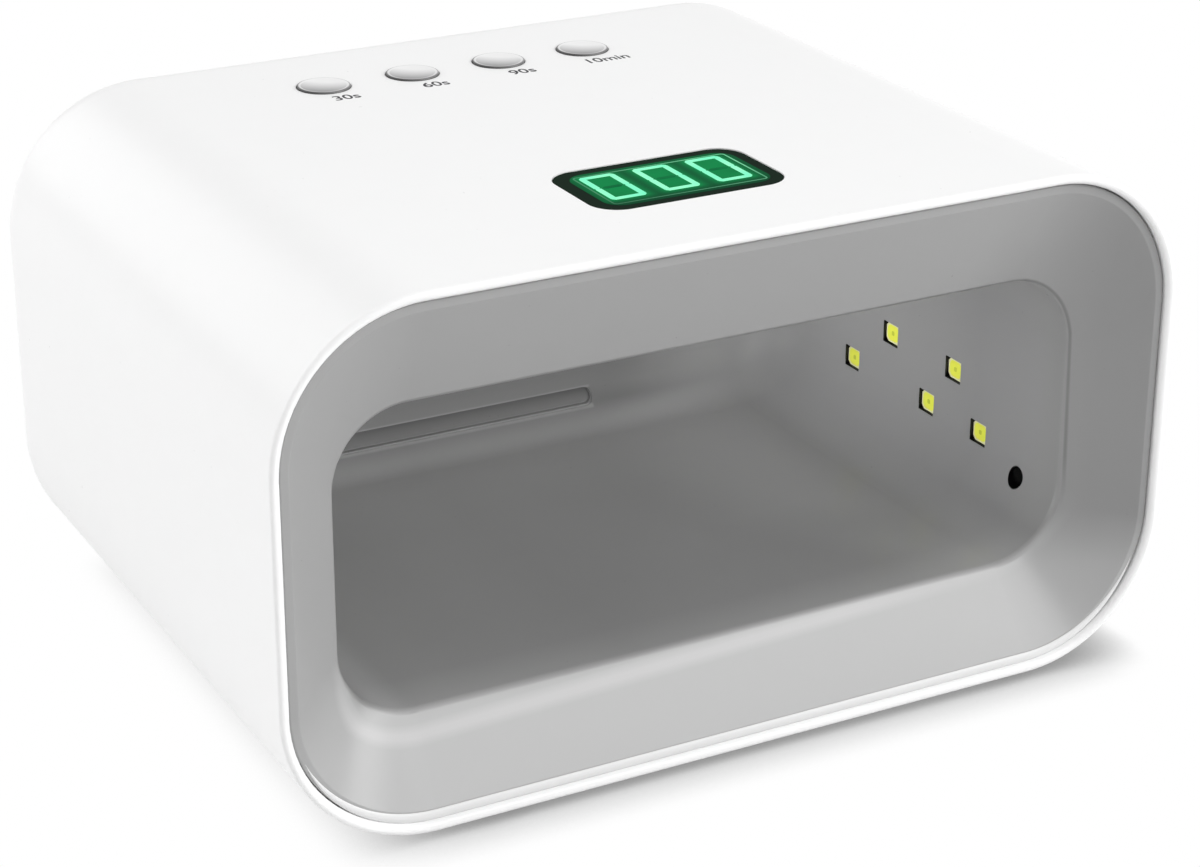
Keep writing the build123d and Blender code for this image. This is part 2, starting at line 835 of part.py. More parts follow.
def all_parts():
    """Every sub-part by its node's name."""
    parts = {
        "outer_shell": outer_shell(),
        "inner_liner": inner_liner(),
        "base_cover": base_cover(),
        "base_screws": base_screws(),
        "rubber_feet": rubber_feet(),
        "control_board": control_board(),
        "button_board": button_board(),
        "board_screws": board_screws(),
        "display_lens": display_lens(),
        "display_module": display_module(),
        "digit_segments": digit_segments(),
        "controller_chip": controller_chip(),
        "driver_transistors": driver_transistors(),
        "filter_capacitor": filter_capacitor(),
        "led_board_left": side_board(-1),
        "led_board_right": side_board(1),
        "led_board_top": top_board(),
        "leds_left": side_led_group(-1),
        "leds_right": side_led_group(1),
        "leds_top": top_led_group(),
        "infrared_emitter": infrared_part(-1),
        "infrared_receiver": infrared_part(1),
        "dc_jack": dc_jack(),
        "dc_jack_pin": dc_jack_pin(),
        "dc_jack_nut": dc_jack_nut(),
        "dc_jack_tabs": dc_jack_tabs(),
        "plug_housings": plug_housings(),
        "led_lead_left": side_lead(-1),
        "led_lead_right": side_lead(1),
        "led_lead_top": top_lead(),
        "power_lead": power_lead(),
        "button_ribbon": ribbon_lead(),
    }
    for i, (name, x) in enumerate(zip(button_names, button_xs), start=1):
        parts[name] = timer_button(x)
        parts[f"tact_switch_{i}"] = tact_switch(x)
        parts[f"switch_plunger_{i}"] = switch_plunger(x)
    return parts


os.makedirs("parts", exist_ok=True)
for name, shape in all_parts().items():
    export_step(shape, f"parts/{name}.step")
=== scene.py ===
import math
import bmesh
import bpy
from mathutils import Matrix, Vector


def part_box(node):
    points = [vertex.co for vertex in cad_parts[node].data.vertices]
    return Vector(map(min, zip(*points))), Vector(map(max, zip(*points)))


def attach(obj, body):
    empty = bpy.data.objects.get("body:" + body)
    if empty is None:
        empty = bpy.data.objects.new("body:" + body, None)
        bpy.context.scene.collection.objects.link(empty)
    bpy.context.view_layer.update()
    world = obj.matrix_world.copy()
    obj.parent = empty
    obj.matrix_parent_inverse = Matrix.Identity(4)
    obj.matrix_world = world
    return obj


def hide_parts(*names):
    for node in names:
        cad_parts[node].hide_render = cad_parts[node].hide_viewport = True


MM = 0.001

# Camera of the photograph: place, direction, roll and focal length
IMAGE_WIDTH_PX = 1200.0
CAMERA_PLACE = (-0.28913, -0.54948, 0.3079)
CAMERA_FORWARD = (0.43859, 0.80795, -0.39353)
CAMERA_ROLL = math.radians(0.186)
FOCAL_PX = 2966.1
SENSOR_WIDTH = 36.0

# Surroundings: brightness as a light, and how much brighter the right is
SKY_LEVEL = 0.605
SKY_LEAN = 0.15

# Floor, and the soft shadow on it: reach, darkest shelter, lean, and brightness at both ends
FLOOR_SIZE = 8.0
FLOOR_COLOR = (0.80, 0.80, 0.80, 1.0)
FLOOR_ROUGHNESS = 0.9
FLOOR_GLOSS = 0.1
SHADOW_REACH = 0.015
SHADOW_DEPTH = 0.25
SHADOW_LEAN = (-0.85, 0.50, 0.30)
SHADOW_LEVELS = (0.40, 0.92)

# Point that the lights aim at, and depths of the fill lights inside the cavity from the front
MIDDLE = (0.0, 0.0, 0.058)
WALL_FILL_DEPTH = 70 * MM
REAR_FILL_DEPTH = 20 * MM

# Heights and widths of the casing that the marks on it go by
UNDERSIDE = 1.5 * MM
WALL_X = 87 * MM

# Gloss of the display's films and of surfaces deep in shade
FILM_GLOSS = 0.004
DULL_GLOSS = 0.05
LIT_ROUGHNESS = 0.4

# Bump of a fine texture, and detail of its noise
BUMP_STRENGTH = 0.5
BUMP_DETAIL = 3.0

# Sizes of the patches in a plain finish's colour and gloss, and how far its gloss drifts
PATCH_SIZE = 9 * MM
GLOSS_PATCH_SIZE = 1.5 * MM
GLOSS_DRIFT = 0.15

# Plain finishes: name, colour, roughness, further settings and the pieces that have them
FINISHES = (
    ("white_shell", (0.90, 0.90, 0.90), 0.30,
     {"mottle": 0.006, "grain_size": 0.6 * MM, "grain_height": 0.004 * MM}, ("outer_shell",)),
    ("white_cover", (0.82, 0.82, 0.82), 0.5, {"mottle": 0.01}, ("base_cover",)),
    ("screw_steel", (0.60, 0.60, 0.62), 0.32, {"metal": 1.0}, ("base_screws", "board_screws")),
    ("foot_rubber", (0.10, 0.10, 0.105), 0.75, {"grain_height": 0.03 * MM}, ("rubber_feet",)),
    ("green_board", (0.05, 0.28, 0.14), 0.4, {}, ("control_board", "button_board")),
    ("dark_lens", (0.007, 0.017, 0.010), 0.30,
     {"grain_height": 0.001 * MM, "gloss": FILM_GLOSS}, ("display_lens",)),
    ("black_plastic", (0.03, 0.03, 0.03), 0.45, {},
     ("display_module", "controller_chip", "driver_transistors", "dc_jack")),
    ("capacitor_can", (0.55, 0.56, 0.60), 0.35, {"metal": 1.0}, ("filter_capacitor",)),
    ("led_board", (0.80, 0.81, 0.82), 0.45, {},
     ("led_board_left", "led_board_right", "led_board_top")),
    ("led_package", (0.85, 0.85, 0.50), 0.4, {}, ("leds_left", "leds_right", "leds_top")),
    ("infrared_black", (0.004, 0.004, 0.004), 0.2, {"gloss": DULL_GLOSS},
     ("infrared_emitter", "infrared_receiver")),
    ("contact_metal", (0.72, 0.70, 0.62), 0.25, {"metal": 1.0},
     ("dc_jack_pin", "dc_jack_nut", "dc_jack_tabs")),
    ("plug_white", (0.85, 0.83, 0.76), 0.5, {}, ("plug_housings",)),
    ("lead_grey", (0.35, 0.35, 0.36), 0.5, {},
     ("led_lead_left", "led_lead_right", "led_lead_top")),
    ("lead_black", (0.04, 0.04, 0.04), 0.45, {}, ("power_lead",)),
    ("ribbon_grey", (0.55, 0.55, 0.56), 0.5, {}, ("button_ribbon",)),
    ("switch_black", (0.05, 0.05, 0.05), 0.5, {},
     ("tact_switch_1", "tact_switch_2", "tact_switch_3", "tact_switch_4")),
    ("plunger_dark", (0.12, 0.12, 0.12), 0.5, {},
     ("switch_plunger_1", "switch_plunger_2", "switch_plunger_3", "switch_plunger_4")),
)

# Liner's own colour, roughness and grain; its painted light and shade below are factors of the colour
LINER_COLOR = (0.335, 0.335, 0.335)
LINER_MOTTLE = 0.01
LINER_PATCH_SIZE = 12 * MM
LINER_ROUGHNESS = (0.273, 0.277)
LINER_GLOSS_PATCH_SIZE = 1.2 * MM
LINER_GRAIN = (0.45 * MM, 0.00015 * MM)
# Black painted as shade on the cut sides of the windows and holes
CUT_SIDE_SHADE = (0.004, 0.004, 0.004, 1.0)
WHITE = (1.0, 1.0, 1.0, 1.0)

# Bezel's painted light and shade: factor at the bottom, loss at the right, and the heights and widths
# between which they fade
BEZEL_LOW_PAINTED_LIGHT = 1.15
BEZEL_LOW_HEIGHTS = (20 * MM, 34 * MM)
BEZEL_RIGHT_PAINTED_SHADE = 0.22
BEZEL_RIGHT_WIDTHS = (58 * MM, 92 * MM)
BEZEL_RIGHT_HEIGHTS = (22 * MM, 33 * MM)

# Cavity's floor and rear wall, with painted light and shade: tones, gains to the rear and the front, and
# where they fade
FLOOR_TONE = 0.73
FLOOR_REAR_GAIN = 0.33
FLOOR_REAR_DEPTHS = (59 * MM, 115 * MM)
FLOOR_FRONT_GAIN = 0.19
FLOOR_FRONT_DEPTHS = (13.4 * MM, 26 * MM)
WALL_FOOT_HEIGHTS = (22.9 * MM, 28 * MM)
REAR_TONES = (0.57, 0.49)
REAR_HEIGHTS = (31 * MM, 38 * MM)
LEFT_END_TONE = 1.20
LEFT_END_WIDTHS = (-62 * MM, -20 * MM)

# Cavity's right wall, with painted light and shade: tone, its gains and losses, and where they fade
RIGHT_TONE = 1.06
RIGHT_REAR_GAIN = 0.17
RIGHT_UPPER_LOSS = 0.06
RIGHT_END_LOSS = 0.13
RIGHT_END_WIDTHS = (68 * MM, 85 * MM)
RIGHT_FRONT_GAIN = 0.17
RIGHT_FRONT_DEPTHS = (20 * MM, 45 * MM)

# Change from the left part's painted shading to the right's: widths, and how far they shift by place
CHANGE_WIDTHS = (19 * MM, 64 * MM)
CHANGE_SHIFT_UP = 15 * MM
CHANGE_SHIFT_AHEAD = 24 * MM
CHANGE_AHEAD_DEPTHS = (28 * MM, 62 * MM)
CHANGE_AHEAD_HEIGHTS = (24 * MM, 34 * MM)

# Edge between the bezel and the cavity: depth and skew low down and higher up, and its softness
EDGE_DEPTHS = (13.0 * MM, 13.4 * MM)
EDGE_SKEWS = (0.018, -0.0035)
EDGE_HEIGHTS = (24 * MM, 34 * MM)
EDGE_SOFTNESS = (-0.5 * MM, 0.7 * MM)

# Painted highlight as a light line along the lower edge: place ahead of the edge, half width, fading and
# strength
RIDGE_AHEAD = 1.6 * MM
RIDGE_HALF_WIDTHS = (0.3 * MM, 1.4 * MM)
RIDGE_HEIGHTS = (26 * MM, 38 * MM)
RIDGE_RIGHT_SHARE = 0.3
RIDGE_WIDTHS = (30 * MM, 70 * MM)
RIDGE_STRENGTH = 0.12

# Thin dark line of painted shade up the right of the edge: depths with height, half width, fading and
# strength
CREASE_DEPTHS = (12.4 * MM, 13.1 * MM)
CREASE_DEPTH_HEIGHTS = (38 * MM, 78 * MM)
CREASE_HALF_WIDTHS = (0.12 * MM, 0.42 * MM)
CREASE_HEIGHTS = (34 * MM, 46 * MM)
CREASE_WIDTHS = (20 * MM, 60 * MM)
CREASE_STRENGTH = 0.32

# Groove in the cavity's rear wall: ends, lower and upper edge, and the painted shade and painted light
# lines on it
GROOVE_START = -37.4 * MM
GROOVE_END = 31.2 * MM
GROOVE_LOW = 27.25 * MM
GROOVE_HIGH = 30.95 * MM
GROOVE_DEPTH_FROM = 115 * MM
GROOVE_SOFTNESS = 0.3 * MM
GROOVE_FLOOR_SOFTNESS = 0.4 * MM
GROOVE_SHADE = 0.38
GROOVE_SHADE_INSETS = (0.6 * MM, 0.8 * MM)
GROOVE_UPPER_LINE = (0.15 * MM, 0.40, (0.15 * MM, 0.5 * MM))
GROOVE_LOWER_LINE = (-0.35 * MM, 0.55, (0.2 * MM, 0.6 * MM))

# Cut sides of the side walls' windows, painted black as shade: how far past the wall's face they lie, and
# where they start
CUT_FROM = 0.05 * MM
CUT_TO = 2.2 * MM
CUT_DEPTH_FROM = 20 * MM

# Holes of the infrared pair, in the rounded lower corners of the side walls, with their sides painted
# black as shade
EYE_DEPTH = 28.0 * MM
EYE_HEIGHT = 33.2 * MM
EYE_RADIUS = 2.6 * MM
EYE_WIDTH_SHARE = 0.9

# Display face: lit panel, module outline and digits, with depths from the casing's front
PANEL_DEPTH = 37.2 * MM
PANEL_ASIDE = 0.5 * MM
PANEL_LENGTH = 38.8 * MM
PANEL_WIDTH = 21.4 * MM
PANEL_CORNER = 4.2 * MM
OUTLINE_LENGTH = 36.2 * MM
OUTLINE_WIDTH = 18.8 * MM
OUTLINE_CORNER = 1.0 * MM
OUTLINE_LINE = 0.35 * MM
OUTLINE_LEFT_LEVEL = 0.35
OUTLINE_FRONT_LEVEL = 0.5
DIGIT_DEPTH = 38.1 * MM
DIGIT_PITCH = 12.5 * MM
DIGIT_COUNT = 3
DIGIT_WIDTH = 8.2 * MM
DIGIT_HEIGHT = 15.4 * MM
DIGIT_STROKE = 1.35 * MM
DIGIT_GAP = 0.12 * MM
SIDE_BAR_OVERLAP = 0.6
MIDDLE_BAR_INSET = 2.6
FILM = 0.03 * MM

# Light of the panel: fading from the strokes, level inside the digits, drift, and its colours
GLOW_REACH = 1.3 * MM
GLOW_FADE_BASE = 2.718
GLOW_INSIDE_LEVEL = 0.55
GLOW_INSIDE_DEPTH = 1.0 * MM
GLOW_CLOUD_SIZE = 5 * MM
GLOW_CLOUD_LEVELS = (0.70, 1.2)
PANEL_UNLIT = (0.003, 0.070, 0.024, 1.0)
PANEL_LIT = (0.005, 0.36, 0.095, 1.0)
PANEL_FRONT = (0.004, 0.030, 0.016, 1.0)
PANEL_FRONT_SHARE = 0.35
PANEL_BASE = (0.002, 0.01, 0.005, 1.0)

# Lit surfaces: the two colours that each drifts between, and the drift itself
OUTLINE_GLOW = ((0.20, 0.66, 0.36), (0.14, 0.56, 0.30))
DIGIT_GLOW = ((0.32, 1.0, 0.60), (0.20, 0.90, 0.55))
DARK_BAR_GLOW = ((0.004, 0.17, 0.050), (0.003, 0.12, 0.038))
SEGMENT_GLOW = ((0.30, 0.90, 0.55), (0.25, 0.80, 0.50))
GLOW_DRIFT_SIZE = 8 * MM
GLOW_DRIFT_SPAN = (0.35, 0.65)
GLOW_BASE_SHARE = 0.1

# Side LEDs: stations as (depth from the front, height over the underside) in mm
SIDE_LEDS = ((44.0, 38.0), (55.0, 49.7), (65.0, 38.0), (81.0, 49.7), (97.0, 38.0))
CEILING_LED_SPAN = (5.6 * MM, 4.9 * MM)

# Parts of an LED's face: spans, corners, and lowest and highest level over the face
PHOSPHOR_SPAN = (4.5 * MM, 3.9 * MM)
PHOSPHOR_CORNER = 1.3 * MM
PHOSPHOR_LEVELS = (0.0, 0.04 * MM)
DIE_SPAN = (1.1 * MM, 1.0 * MM)
DIE_CORNER = 0.3 * MM
DIE_LEVELS = (0.04 * MM, 0.06 * MM)

# Black films of painted shadow: edges of a side window on the wall, and corners on the LED's face
WINDOW_SPAN = (4.9 * MM, 5.6 * MM)
WINDOW_SHADOW_EDGE = (0.25 * MM, 0.28 * MM)
WINDOW_SHADOW_EDGE_LEVELS = (0.0, 0.03 * MM)
WINDOW_SHADOW_NOTCH = 1.0 * MM
WINDOW_SHADOW_NOTCH_LEVELS = (0.04 * MM, 0.08 * MM)

# White bead on the lower front of the liner's rim
LINER_CORNER = 30.6 * MM
BEAD_INSET = 0.8 * MM
BEAD_WIDTH = 2.4 * MM
BEAD_PROUD = 0.5 * MM
BEAD_SINK = 0.2 * MM
BEAD_TAPER = 0.8
BEAD_LEAST_WIDTH = 0.04 * MM
BEAD_LEAST_PROUD = 0.02 * MM
BEAD_END_ANGLE = -22.0
BEAD_STEPS = 24
BEAD_SIDES = 12

# Cross recesses of the base cover's screws
SCREW_HEAD_RADIUS = 2.9 * MM
SCREW_CROSS_SPAN = 3.4 * MM
SCREW_CROSS_WIDTH = 0.9 * MM
SCREW_CROSS_DEPTH = 0.9 * MM
SCREW_CROSS_START = 0.1 * MM
SCREW_CROSS_TAPER = 0.6

# Printed times in front of the buttons
LABELS = {"button_30s": "30s", "button_60s": "60s", "button_90s": "90s", "button_10min": "10min"}
LABEL_AHEAD = 10.0 * MM
LABEL_ASIDE = 1.2 * MM
LABEL_SIZE = 4.7 * MM
LABEL_WEIGHT = 0.06 * MM
LABEL_HEIGHT = 0.01 * MM

# Buttons: flange outside the face, direction and span of the face's painted light and shade, and its
# colours
BUTTON_FLANGE = 1.1 * MM
BUTTON_LIGHT_LEAN = (0.55, 0.84)
BUTTON_FACE_SPAN = (-1.0, 0.5)
BUTTON_FACE_SHADE = (0.115, 0.115, 0.12, 1.0)
BUTTON_FACE_HIGHLIGHT = (0.88, 0.88, 0.88, 1.0)

# Painted highlight ring near a button's edge, as a share of the radius, and the colours of painted shade
# on the edge past it
BUTTON_RING_PLACE = 0.89
BUTTON_RING_STRENGTH = 0.65
BUTTON_RING_HALF_WIDTHS = (0.02, 0.05)
BUTTON_RING_HIGHLIGHT = (0.90, 0.90, 0.90, 1.0)
BUTTON_EDGE_SPAN = (0.93, 0.97)
BUTTON_NEAR_SPAN = (-0.9, -0.2)
BUTTON_NEAR_SHADE = (0.05, 0.05, 0.05, 1.0)
BUTTON_NEAR_LIGHT = (0.16, 0.16, 0.16, 1.0)
BUTTON_FAR_SPAN = (-0.2, 0.7)
BUTTON_FAR_LIGHT = (0.38, 0.38, 0.38, 1.0)

# Gloss and grain of a button
BUTTON_ROUGHNESS = (0.26, 0.34)
BUTTON_GLOSS_PATCH_SIZE = 1.0 * MM
BUTTON_METAL = 0.15
BUTTON_GRAIN = (0.2 * MM, 0.002 * MM)


def new_material(name):
    """An empty node material, its nodes and its shader."""
    made = bpy.data.materials.new(name)
    made.use_nodes = True
    return made, made.node_tree, shader_of(made)


def shader_of(material):
    """A material's main shader."""
    return material.node_tree.nodes["Principled BSDF"]


def feed(tree, socket, value):
    """Links a socket to another, or sets its value."""
    if isinstance(value, bpy.types.NodeSocket):
        tree.links.new(value, socket)
    else:
        socket.default_value = value


def calc(tree, operation, *values):
    """The result of one operation on numbers."""
    node = tree.nodes.new("ShaderNodeMath")
    node.operation = operation
    for socket, value in zip(node.inputs, values):
        feed(tree, socket, value)
    return node.outputs[0]


def plus(tree, first, second):
    """The sum of two numbers."""
    return calc(tree, "ADD", first, second)


def minus(tree, first, second):
    """The first number less the second."""
    return calc(tree, "SUBTRACT", first, second)


def product(tree, *values):
    """The product of two or more numbers."""
    total = values[0]
    for value in values[1:]:
        total = calc(tree, "MULTIPLY", total, value)
    return total


def apart(tree, first, second):
    """How far two numbers are apart."""
    return calc(tree, "ABSOLUTE", minus(tree, first, second))


def diagonal(tree, first, second):
    """The length of the diagonal over two sides."""
    return calc(tree, "SQRT", plus(tree, product(tree, first, first), product(tree, second, second)))


def place(tree):
    """The position in the part's own frame, in metres."""
    return tree.nodes.new("ShaderNodeTexCoord").outputs["Object"]


def axes(tree):
    """The three coordinates of the position in the part's frame."""
    split = tree.nodes.new("ShaderNodeSeparateXYZ")
    tree.links.new(place(tree), split.inputs["Vector"])
    return tuple(split.outputs)


def from_front(depths):
    """Two depths from the casing's front, as places in the part's frame."""
    return FRONT_Y + depths[0], FRONT_Y + depths[1]


def noise(tree, size, detail=2.0):
    """Noise with features of about the given size in metres."""
    node = tree.nodes.new("ShaderNodeTexNoise")
    tree.links.new(place(tree), node.inputs["Vector"])
    node.inputs["Scale"].default_value = 1.0 / size
    node.inputs["Detail"].default_value = detail
    node.inputs["Roughness"].default_value = 0.5
    return node.outputs["Fac"]


def between(tree, factor, low, high, start=0.0, end=1.0, soft=False):
    """A number between two limits, as a factor goes from start to end."""
    node = tree.nodes.new("ShaderNodeMapRange")
    if soft:
        node.interpolation_type = "SMOOTHSTEP"
    tree.links.new(factor, node.inputs["Value"])
    node.inputs["From Min"].default_value = start
    node.inputs["From Max"].default_value = end
    node.inputs["To Min"].default_value = low
    node.inputs["To Max"].default_value = high
    return node.outputs["Result"]


def rise(tree, factor, span, soft=False):
    """0 before a span and 1 past it."""
    return between(tree, factor, 0.0, 1.0, *span, soft)


def fall(tree, factor, span):
    """1 before a span and 0 past it."""
    return between(tree, factor, 1.0, 0.0, *span)


def blend(tree, factor, first, second):
    """A colour between two, by a factor from 0 to 1."""
    node = tree.nodes.new("ShaderNodeMix")
    node.data_type = "RGBA"
    feed(tree, node.inputs["Factor"], factor)
    feed(tree, node.inputs[6], first)
    feed(tree, node.inputs[7], second)
    return node.outputs[2]


def scaled(tree, color, factor):
    """A colour multiplied by a number."""
    node = tree.nodes.new("ShaderNodeVectorMath")
    node.operation = "SCALE"
    tree.links.new(color, node.inputs[0])
    tree.links.new(factor, node.inputs["Scale"])
    return node.outputs[0]


def shade(color, factor):
    """A colour made darker or lighter."""
    return (color[0] * factor, color[1] * factor, color[2] * factor, 1.0)


def mottled(tree, color, mottle, size):
    """A colour with slightly darker and lighter patches."""
    return blend(tree, noise(tree, size), shade(color, 1 - mottle), shade(color, 1 + mottle))


def grain(tree, shader, size, height):
    """A fine moulded or rolled texture as a bump."""
    bump = tree.nodes.new("ShaderNodeBump")
    tree.links.new(noise(tree, size, BUMP_DETAIL), bump.inputs["Height"])
    bump.inputs["Strength"].default_value = BUMP_STRENGTH
    bump.inputs["Distance"].default_value = height
    tree.links.new(bump.outputs["Normal"], shader.inputs["Normal"])


def solid_finish(name, color, rough, metal=0.0, mottle=0.03, grain_size=0.4 * MM,
                 grain_height=0.01 * MM, gloss=None):
    """A moulded, rolled or plated surface: mottled colour, uneven gloss and a fine grain."""
    made, tree, shader = new_material(name)
    feed(tree, shader.inputs["Base Color"], mottled(tree, color, mottle, PATCH_SIZE))
    uneven = between(tree, noise(tree, GLOSS_PATCH_SIZE),
                     rough * (1 - GLOSS_DRIFT), rough * (1 + GLOSS_DRIFT))
    feed(tree, shader.inputs["Roughness"], uneven)
    shader.inputs["Metallic"].default_value = metal
    if gloss is not None:
        shader.inputs["Specular IOR Level"].default_value = gloss
    grain(tree, shader, grain_size, grain_height)
    return made


def glow(name, color, other):
    """A lit surface whose light drifts between two colours."""
    made, tree, shader = new_material(name)
    shader.inputs["Base Color"].default_value = shade(color, GLOW_BASE_SHARE)
    shader.inputs["Roughness"].default_value = LIT_ROUGHNESS
    shader.inputs["Specular IOR Level"].default_value = FILM_GLOSS
    drift = rise(tree, noise(tree, GLOW_DRIFT_SIZE), GLOW_DRIFT_SPAN)
    feed(tree, shader.inputs["Emission Color"], blend(tree, drift, (*color, 1.0), (*other, 1.0)))
    shader.inputs["Emission Strength"].default_value = 1.0
    return made


def outline_glow():
    """The display's thin outline, brightest at its far right."""
    made = glow("outline_glow", *OUTLINE_GLOW)
    tree = made.node_tree
    x, y, _ = axes(tree)
    across = between(tree, x, OUTLINE_LEFT_LEVEL, 1.0, -OUTLINE_LENGTH / 2, OUTLINE_LENGTH / 2)
    middle_y = FRONT_Y + PANEL_DEPTH
    back = between(tree, y, OUTLINE_FRONT_LEVEL, 1.0, middle_y - OUTLINE_WIDTH / 2, middle_y)
    feed(tree, shader_of(made).inputs["Emission Strength"], product(tree, across, back))
    return made


def digit_glow():
    """Lit green panel, brighter round the strokes of the digits."""
    made, tree, shader = new_material("display_panel")
    x, y, _ = axes(tree)
    nearest = calc(tree, "SNAP", plus(tree, x, DIGIT_PITCH / 2), DIGIT_PITCH)
    nearest = calc(tree, "MAXIMUM", calc(tree, "MINIMUM", nearest, DIGIT_PITCH), -DIGIT_PITCH)
    past_x = minus(tree, apart(tree, x, nearest), (DIGIT_WIDTH - DIGIT_STROKE) / 2)
    middle_y = FRONT_Y + DIGIT_DEPTH
    past_y = minus(tree, apart(tree, y, middle_y), (DIGIT_HEIGHT - DIGIT_STROKE) / 2)
    outside = diagonal(tree, calc(tree, "MAXIMUM", past_x, 0.0), calc(tree, "MAXIMUM", past_y, 0.0))
    inside = calc(tree, "MINIMUM", calc(tree, "MAXIMUM", past_x, past_y), 0.0)
    distance = calc(tree, "ABSOLUTE", plus(tree, outside, inside))
    near = calc(tree, "POWER", GLOW_FADE_BASE, calc(tree, "DIVIDE", distance, -GLOW_REACH))
    within = between(tree, inside, 0.0, GLOW_INSIDE_LEVEL, 0.0, -GLOW_INSIDE_DEPTH)
    cloud = between(tree, noise(tree, GLOW_CLOUD_SIZE), *GLOW_CLOUD_LEVELS)
    lit = product(tree, calc(tree, "MAXIMUM", near, within), cloud)
    color = blend(tree, lit, PANEL_UNLIT, PANEL_LIT)
    panel_front = FRONT_Y + PANEL_DEPTH - PANEL_WIDTH / 2
    edge = between(tree, y, PANEL_FRONT_SHARE, 1.0, panel_front, middle_y - DIGIT_HEIGHT / 2)
    feed(tree, shader.inputs["Emission Color"], blend(tree, edge, PANEL_FRONT, color))
    shader.inputs["Emission Strength"].default_value = 1.0
    shader.inputs["Base Color"].default_value = PANEL_BASE
    shader.inputs["Roughness"].default_value = LIT_ROUGHNESS
    shader.inputs["Specular IOR Level"].default_value = FILM_GLOSS
    return made


def bezel_painted_shading(tree):
    """Painted light and shade on the bezel: lighter along the bottom, darker up the right."""
    x, _, z = axes(tree)
    low = between(tree, z, BEZEL_LOW_PAINTED_LIGHT, 1.0, *BEZEL_LOW_HEIGHTS)
    aside = between(tree, x, 0.0, BEZEL_RIGHT_PAINTED_SHADE, *BEZEL_RIGHT_WIDTHS)
    up = rise(tree, z, BEZEL_RIGHT_HEIGHTS)
    return product(tree, low, minus(tree, 1.0, product(tree, aside, up)))


def cavity_painted_shading(tree):
    """Painted light and shade over the cavity: even over its floor and rear wall, lighter towards the
    right wall.
    """
    x, y, z = axes(tree)
    up = rise(tree, z, WALL_FOOT_HEIGHTS, True)
    back = rise(tree, y, from_front(FLOOR_REAR_DEPTHS))
    back = product(tree, back, back)
    front = between(tree, y, FLOOR_FRONT_GAIN, 0.0, *from_front(FLOOR_FRONT_DEPTHS))
    floor = plus(tree, plus(tree, product(tree, back, FLOOR_REAR_GAIN), FLOOR_TONE), front)
    rear = between(tree, z, *REAR_TONES, *REAR_HEIGHTS)
    left = plus(tree, product(tree, up, minus(tree, rear, floor)), floor)
    right = plus(tree, product(tree, back, RIGHT_REAR_GAIN), RIGHT_TONE)
    right = minus(tree, right, product(tree, up, RIGHT_UPPER_LOSS))
    right = minus(tree, right, between(tree, x, 0.0, RIGHT_END_LOSS, *RIGHT_END_WIDTHS))
    ahead = between(tree, y, RIGHT_FRONT_GAIN, 0.0, *from_front(RIGHT_FRONT_DEPTHS))
    right = plus(tree, right, ahead)
    change = rise(tree, change_place(tree, up), CHANGE_WIDTHS, True)
    tone = plus(tree, left, product(tree, change, minus(tree, right, left)))
    return product(tree, tone, between(tree, x, LEFT_END_TONE, 1.0, *LEFT_END_WIDTHS))


def change_place(tree, up):
    """The width that the change of painted shading goes by, which lies further right higher up and near
    the front.
    """
    x, y, z = axes(tree)
    across = minus(tree, x, product(tree, up, CHANGE_SHIFT_UP))
    ahead = between(tree, y, CHANGE_SHIFT_AHEAD, 0.0, *from_front(CHANGE_AHEAD_DEPTHS))
    return minus(tree, across, product(tree, ahead, fall(tree, z, CHANGE_AHEAD_HEIGHTS)))


def edge_place(tree):
    """How far a point lies behind the edge between the bezel and the cavity."""
    x, y, z = axes(tree)
    above = rise(tree, z, EDGE_HEIGHTS)
    depth = between(tree, above, *from_front(EDGE_DEPTHS))
    skew = product(tree, x, between(tree, above, *EDGE_SKEWS))
    return minus(tree, minus(tree, y, depth), skew)


def ridge_highlight_mask(tree):
    """1 along the lower edge of the cavity, where a light line is painted as a highlight."""
    x, _, z = axes(tree)
    off = calc(tree, "ABSOLUTE", plus(tree, edge_place(tree), RIDGE_AHEAD))
    near = fall(tree, off, RIDGE_HALF_WIDTHS)
    low = fall(tree, z, RIDGE_HEIGHTS)
    return product(tree, near, low, between(tree, x, 1.0, RIDGE_RIGHT_SHARE, *RIDGE_WIDTHS))


def crease_shade_mask(tree):
    """1 along the thin dark line of painted shade between the bezel and the cavity, at the top right and
    up the right.
    """
    x, y, z = axes(tree)
    depth = plus(tree, between(tree, z, *CREASE_DEPTHS, *CREASE_DEPTH_HEIGHTS), FRONT_Y)
    near = fall(tree, apart(tree, y, depth), CREASE_HALF_WIDTHS)
    return product(tree, near, rise(tree, z, CREASE_HEIGHTS), rise(tree, x, CREASE_WIDTHS))


def painted_light_line(tree, z, height, line):
    """Strength of a thin painted light line beside a height, given as offset, strength and half widths."""
    offset, strength, half_widths = line
    return between(tree, apart(tree, z, height + offset), strength, 0.0, *half_widths)


def groove_painted_shading(tree):
    """Painted shade and light over the groove: dark under its upper edge, with a thin painted light line
    along both edges.
    """
    x, y, z = axes(tree)
    start = rise(tree, x, (GROOVE_START - GROOVE_SOFTNESS, GROOVE_START + GROOVE_SOFTNESS))
    end = fall(tree, x, (GROOVE_END - GROOVE_SOFTNESS, GROOVE_END + GROOVE_SOFTNESS))
    along = product(tree, start, end, calc(tree, "GREATER_THAN", y, FRONT_Y + GROOVE_DEPTH_FROM))
    over_low = rise(tree, z, (GROOVE_LOW, GROOVE_LOW + GROOVE_FLOOR_SOFTNESS))
    under_high = fall(tree, z, (GROOVE_HIGH - GROOVE_SOFTNESS, GROOVE_HIGH))
    shaded = between(tree, z, 0.0, GROOVE_SHADE,
                     GROOVE_LOW + GROOVE_SHADE_INSETS[0], GROOVE_HIGH - GROOVE_SHADE_INSETS[1])
    dark = product(tree, along, product(tree, over_low, under_high), shaded)
    upper = painted_light_line(tree, z, GROOVE_HIGH, GROOVE_UPPER_LINE)
    lower = painted_light_line(tree, z, GROOVE_LOW, GROOVE_LOWER_LINE)
    light = product(tree, along, plus(tree, upper, lower))
    return plus(tree, minus(tree, 1.0, dark), light)


